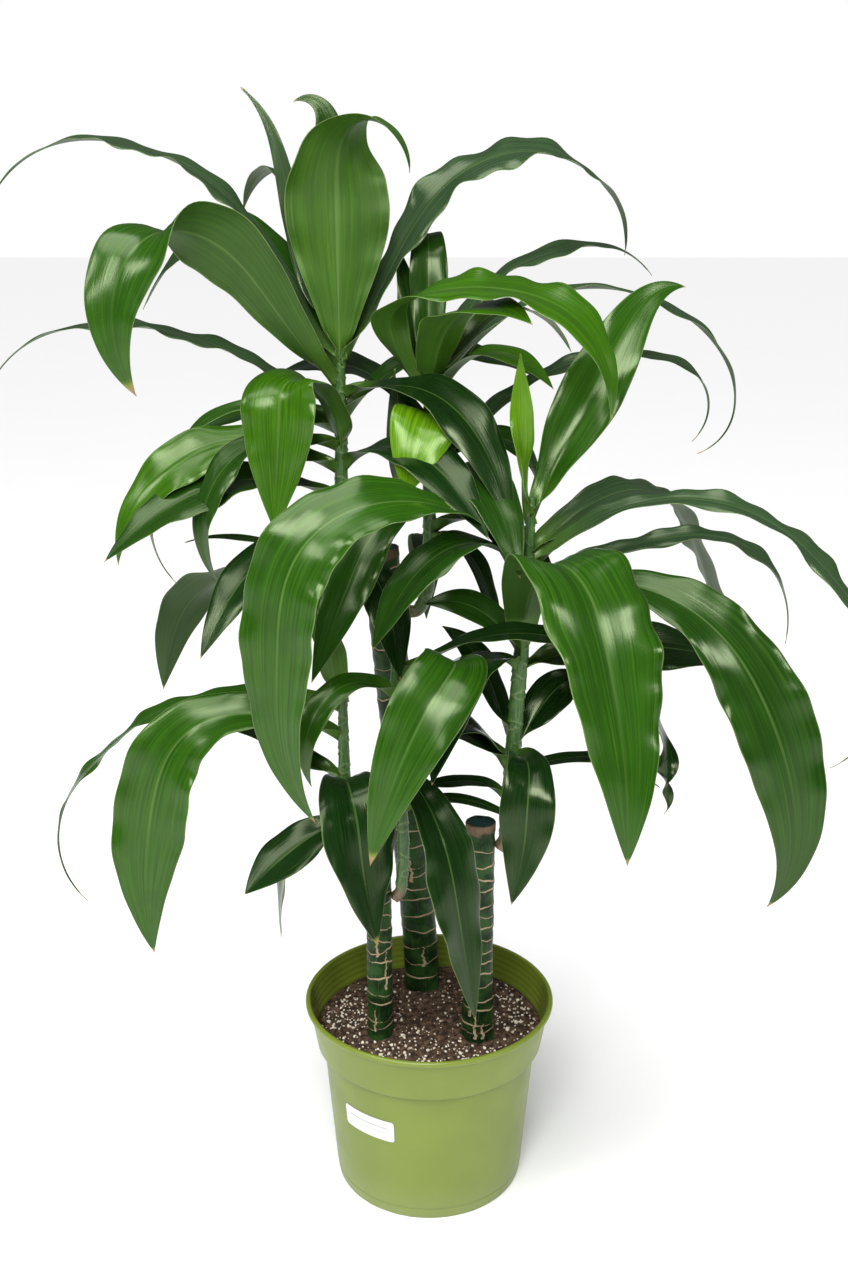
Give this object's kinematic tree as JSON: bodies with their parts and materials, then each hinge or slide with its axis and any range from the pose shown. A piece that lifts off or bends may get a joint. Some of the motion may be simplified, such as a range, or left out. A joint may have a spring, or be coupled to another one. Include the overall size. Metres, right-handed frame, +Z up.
{
  "type": "potted corn plant",
  "caption": "Corn plant (dracaena) with cut woody canes and long arching green leaves in a round olive-green nursery pot.",
  "frame": {"origin": "centre of the flat underside of the pot", "axes": "+Z up along the pot's axis; -Y faces the front of the plant, +X is its right-hand side"},
  "size_m": [0.8493, 0.4117, 1.0793],
  "materials": {
    "pot_plastic": "satin olive-green moulded polypropylene",
    "label_paper": "smooth white sticker",
    "potting_mix": "rough dark peat mix with pale perlite grains",
    "bark": "dark green woody cane with tan leaf scars",
    "stem": "smooth green young stem with papery scales",
    "leaf": "waxy green leaf, glossy above and duller below"
  },
  "bodies": {
    "root": {"pot": "pot_plastic", "label": "label_paper", "soil": "potting_mix", "cane_front_left": "bark", "cane_back": "bark", "cane_right": "bark", "shoot_left_top": "stem", "shoot_middle_top": "stem", "shoot_right": "stem", "shoot_left_low": "stem", "shoot_front_low": "stem", "leaf_left_top_far_arch": "leaf", "leaf_left_top_big_fold": "leaf", "leaf_left_top_behind_fold": "leaf", "leaf_left_top_low_arch": "leaf", "leaf_left_top_young_spear": "leaf", "leaf_left_top_back_upright": "leaf", "leaf_left_top_broad_upright": "leaf", "leaf_left_top_right_arch": "leaf", "leaf_left_top_front_fold": "leaf", "leaf_left_top_right_drape": "leaf", "leaf_left_top_left_short": "leaf", "leaf_left_top_left_ribbon": "leaf", "leaf_left_top_left_curl": "leaf", "leaf_left_top_left_broad": "leaf", "leaf_left_top_left_hang": "leaf", "leaf_middle_top_back_upright": "leaf", "leaf_middle_top_bright_arch": "leaf", "leaf_middle_top_back_arch": "leaf", "leaf_middle_top_long_ribbon": "leaf", "leaf_middle_top_front_broad": "leaf", "leaf_middle_top_front_olive": "leaf", "leaf_middle_top_back_right": "leaf", "leaf_middle_top_right_ribbon": "leaf", "leaf_middle_top_front_hang": "leaf", "leaf_middle_top_bright_fold": "leaf", "leaf_middle_top_right_hang": "leaf", "leaf_middle_top_back_hang": "leaf", "leaf_right_long_left": "leaf", "leaf_right_broad_upright": "leaf", "leaf_right_young_spear": "leaf", "leaf_right_back_broad": "leaf", "leaf_right_glossy_front": "leaf", "leaf_right_far_arch": "leaf", "leaf_right_thin_arch": "leaf", "leaf_right_broad_right": "leaf", "leaf_right_left_dark": "leaf", "leaf_right_front_fold": "leaf", "leaf_right_left_upright": "leaf", "leaf_left_low_glossy_left": "leaf", "leaf_left_low_far_ribbon": "leaf", "leaf_left_low_lime_spear": "leaf", "leaf_left_low_back_upright": "leaf", "leaf_left_low_front_dark": "leaf", "leaf_left_low_low_left": "leaf", "leaf_left_low_low_hang": "leaf", "leaf_front_low_long_dark": "leaf", "leaf_front_low_left_curl": "leaf", "leaf_front_low_bright_front": "leaf", "leaf_front_low_glossy_hang": "leaf"}
  },
  "joints": []
}
